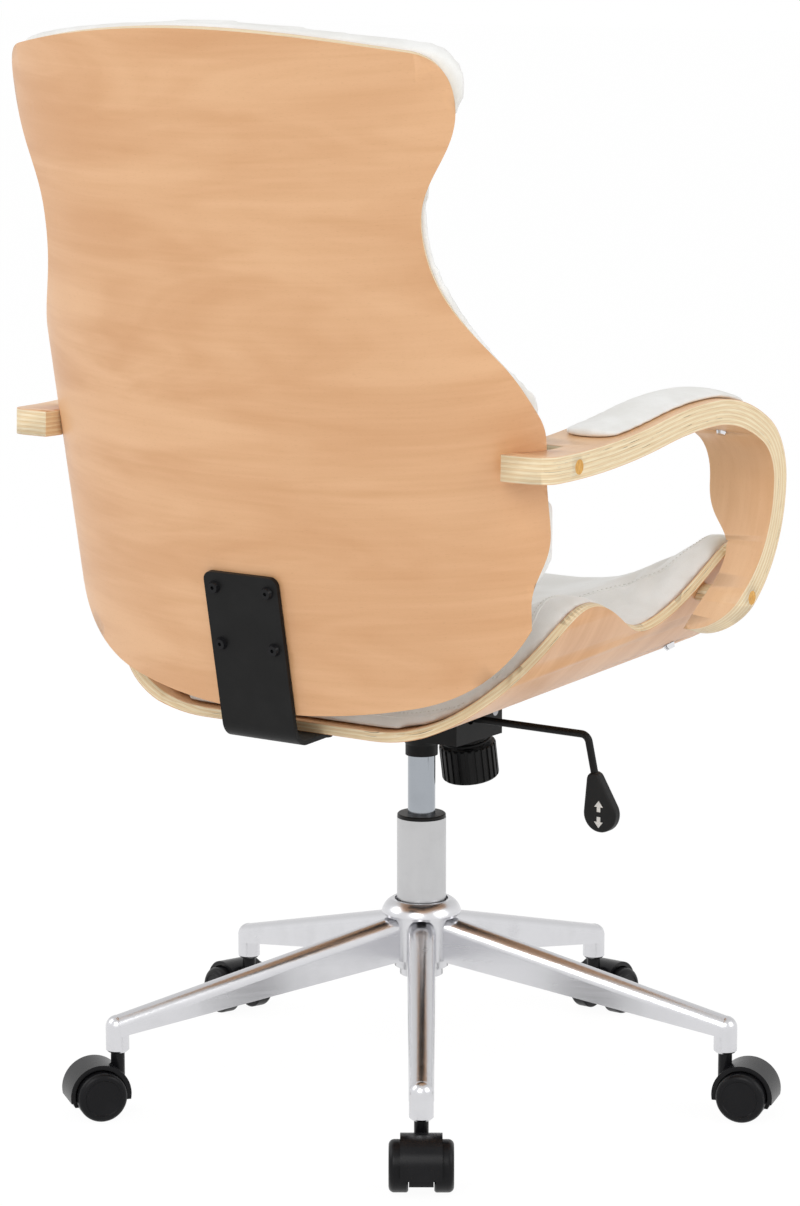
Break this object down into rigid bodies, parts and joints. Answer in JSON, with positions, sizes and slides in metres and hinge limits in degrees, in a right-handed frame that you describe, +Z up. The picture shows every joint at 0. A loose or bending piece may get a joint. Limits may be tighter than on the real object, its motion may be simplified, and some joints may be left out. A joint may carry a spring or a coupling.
{
  "type": "office chair",
  "caption": "Swivel office chair with a bent plywood seat and waisted high back, pale upholstery, bentwood loop arms, gas lift and a polished star base on twin-wheel casters.",
  "frame": {"origin": "on the floor, on the axis of the gas lift column", "axes": "+Z up, the sitter faces -Y, +X is the sitter's left"},
  "size_m": [0.7216, 0.7731, 1.0988],
  "materials": {
    "polished_alloy": "polished",
    "caster_wheel_plastic": "satin",
    "caster_hood_plastic": "gloss",
    "plain_steel": "plain",
    "chrome_fasteners": "bright",
    "satin_tube": "satin chrome",
    "bright_cylinder": "bright",
    "black_plastic": "satin",
    "black_steel": "satin black",
    "black_screws": "gloss black",
    "veneer_ply": "satin lacquer",
    "bent_ply": "satin lacquer",
    "plug_wood": "satin lacquer",
    "white_upholstery": "soft sheen",
    "white_pad": "soft sheen"
  },
  "bodies": {
    "base": {"hub": "polished_alloy", "leg_1": "polished_alloy", "leg_2": "polished_alloy", "leg_3": "polished_alloy", "leg_4": "polished_alloy", "leg_5": "polished_alloy", "leg_screws": "chrome_fasteners", "caster_stems": "plain_steel", "lift_tube": "satin_tube", "guide_ring": "black_plastic", "lift_rod": "plain_steel", "thrust_bearing": "plain_steel", "rod_clip": "plain_steel"},
    "caster_1": {"caster_hood_1": "caster_hood_plastic", "caster_axle_1": "plain_steel"},
    "wheel_1a": {"caster_wheel_1a": "caster_wheel_plastic"},
    "wheel_1b": {"caster_wheel_1b": "caster_wheel_plastic"},
    "caster_2": {"caster_hood_2": "caster_hood_plastic", "caster_axle_2": "plain_steel"},
    "wheel_2a": {"caster_wheel_2a": "caster_wheel_plastic"},
    "wheel_2b": {"caster_wheel_2b": "caster_wheel_plastic"},
    "caster_3": {"caster_hood_3": "caster_hood_plastic", "caster_axle_3": "plain_steel"},
    "wheel_3a": {"caster_wheel_3a": "caster_wheel_plastic"},
    "wheel_3b": {"caster_wheel_3b": "caster_wheel_plastic"},
    "caster_4": {"caster_hood_4": "caster_hood_plastic", "caster_axle_4": "plain_steel"},
    "wheel_4a": {"caster_wheel_4a": "caster_wheel_plastic"},
    "wheel_4b": {"caster_wheel_4b": "caster_wheel_plastic"},
    "caster_5": {"caster_hood_5": "caster_hood_plastic", "caster_axle_5": "plain_steel"},
    "wheel_5a": {"caster_wheel_5a": "caster_wheel_plastic"},
    "wheel_5b": {"caster_wheel_5b": "caster_wheel_plastic"},
    "lift": {"gas_cylinder": "bright_cylinder"},
    "release": {"release_pin": "plain_steel"},
    "mechanism": {"tilt_housing": "black_steel", "tilt_axle": "plain_steel", "tension_bolt": "black_steel", "tension_spring": "black_steel"},
    "knob": {"tension_knob": "black_plastic"},
    "lock": {"lock_slider": "black_plastic", "lever_pivot": "plain_steel"},
    "lever": {"lever_rod": "black_steel", "lever_paddle": "black_plastic"},
    "seat": {"seat_plate": "black_steel", "seat_screws": "black_screws", "seat_shell": "veneer_ply", "seat_cushion": "white_upholstery", "seat_bolts": "chrome_fasteners", "back_bracket": "black_steel", "bracket_screws": "black_screws", "back_shell": "veneer_ply", "back_cushion": "white_upholstery", "arm_right": "bent_ply", "arm_left": "bent_ply", "pad_right": "white_pad", "pad_left": "white_pad", "arm_plugs": "plug_wood", "arm_bolts": "chrome_fasteners", "pad_screws": "chrome_fasteners"}
  },
  "joints": [
    {"name": "caster_1_swivel", "type": "hinge", "parent": "base", "child": "caster_1", "pos_m": [-0.18079, 0.26404, 0.055], "axis": [0, 0, 1], "continuous": true},
    {"name": "wheel_1a_spin", "type": "hinge", "parent": "caster_1", "child": "wheel_1a", "pos_m": [-0.19322, 0.28219, 0.025], "axis": [-0.8251, -0.565, 0], "continuous": true},
    {"name": "wheel_1b_spin", "type": "hinge", "parent": "caster_1", "child": "wheel_1b", "pos_m": [-0.19322, 0.28219, 0.025], "axis": [-0.8251, -0.565, 0], "continuous": true},
    {"name": "caster_2_swivel", "type": "hinge", "parent": "base", "child": "caster_2", "pos_m": [-0.30698, -0.09035, 0.055], "axis": [0, 0, 1], "continuous": true},
    {"name": "wheel_2a_spin", "type": "hinge", "parent": "caster_2", "child": "wheel_2a", "pos_m": [-0.32809, -0.09656, 0.025], "axis": [0.2823, -0.9593, 0], "continuous": true},
    {"name": "wheel_2b_spin", "type": "hinge", "parent": "caster_2", "child": "wheel_2b", "pos_m": [-0.32809, -0.09656, 0.025], "axis": [0.2823, -0.9593, 0], "continuous": true},
    {"name": "caster_3_swivel", "type": "hinge", "parent": "base", "child": "caster_3", "pos_m": [-0.00894, -0.31988, 0.055], "axis": [0, 0, 1], "continuous": true},
    {"name": "wheel_3a_spin", "type": "hinge", "parent": "caster_3", "child": "wheel_3a", "pos_m": [-0.00955, -0.34187, 0.025], "axis": [0.9996, -0.0279, 0], "continuous": true},
    {"name": "wheel_3b_spin", "type": "hinge", "parent": "caster_3", "child": "wheel_3b", "pos_m": [-0.00955, -0.34187, 0.025], "axis": [0.9996, -0.0279, 0], "continuous": true},
    {"name": "caster_4_swivel", "type": "hinge", "parent": "base", "child": "caster_4", "pos_m": [0.30146, -0.10734, 0.055], "axis": [0, 0, 1], "continuous": true},
    {"name": "wheel_4a_spin", "type": "hinge", "parent": "caster_4", "child": "wheel_4a", "pos_m": [0.32218, -0.11472, 0.025], "axis": [0.3355, 0.9421, 0], "continuous": true},
    {"name": "wheel_4b_spin", "type": "hinge", "parent": "caster_4", "child": "wheel_4b", "pos_m": [0.32218, -0.11472, 0.025], "axis": [0.3355, 0.9421, 0], "continuous": true},
    {"name": "caster_5_swivel", "type": "hinge", "parent": "base", "child": "caster_5", "pos_m": [0.19525, 0.25353, 0.055], "axis": [0, 0, 1], "continuous": true},
    {"name": "wheel_5a_spin", "type": "hinge", "parent": "caster_5", "child": "wheel_5a", "pos_m": [0.20867, 0.27096, 0.025], "axis": [-0.7923, 0.6101, 0], "continuous": true},
    {"name": "wheel_5b_spin", "type": "hinge", "parent": "caster_5", "child": "wheel_5b", "pos_m": [0.20867, 0.27096, 0.025], "axis": [-0.7923, 0.6101, 0], "continuous": true},
    {"name": "height_slide", "type": "slide", "parent": "base", "child": "lift", "axis": [0, 0, 1], "range_m": [-0.04, 0.06]},
    {"name": "release_press", "type": "slide", "parent": "lift", "child": "release", "axis": [0, 0, 1], "range_m": [-0.0056, 0]},
    {"name": "seat_swivel", "type": "hinge", "parent": "lift", "child": "mechanism", "pos_m": [0, 0, 0.36], "axis": [0, 0, 1], "continuous": true},
    {"name": "tension_turn", "type": "hinge", "parent": "mechanism", "child": "knob", "pos_m": [0, -0.079, 0.366], "axis": [0, 0.1908, 0.9816], "continuous": true},
    {"name": "lock_slide", "type": "slide", "parent": "mechanism", "child": "lock", "axis": [-1, 0, 0], "range_m": [0, 0.01]},
    {"name": "lever_lift", "type": "hinge", "parent": "lock", "child": "lever", "pos_m": [-0.038, 0, 0.391], "axis": [0, 1, 0], "range_deg": [0, 6], "stiffness_Nm_per_rad": 1.5, "springref_deg": -17.19},
    {"name": "seat_tilt", "type": "hinge", "parent": "mechanism", "child": "seat", "pos_m": [0, -0.045, 0.391], "axis": [-1, 0, 0], "range_deg": [0, 12], "stiffness_Nm_per_rad": 120, "springref_deg": -22.92}
  ],
  "couplings": [
    {"joint": "release_press", "follows": "lever_lift", "m_per_rad": -0.05}
  ]
}
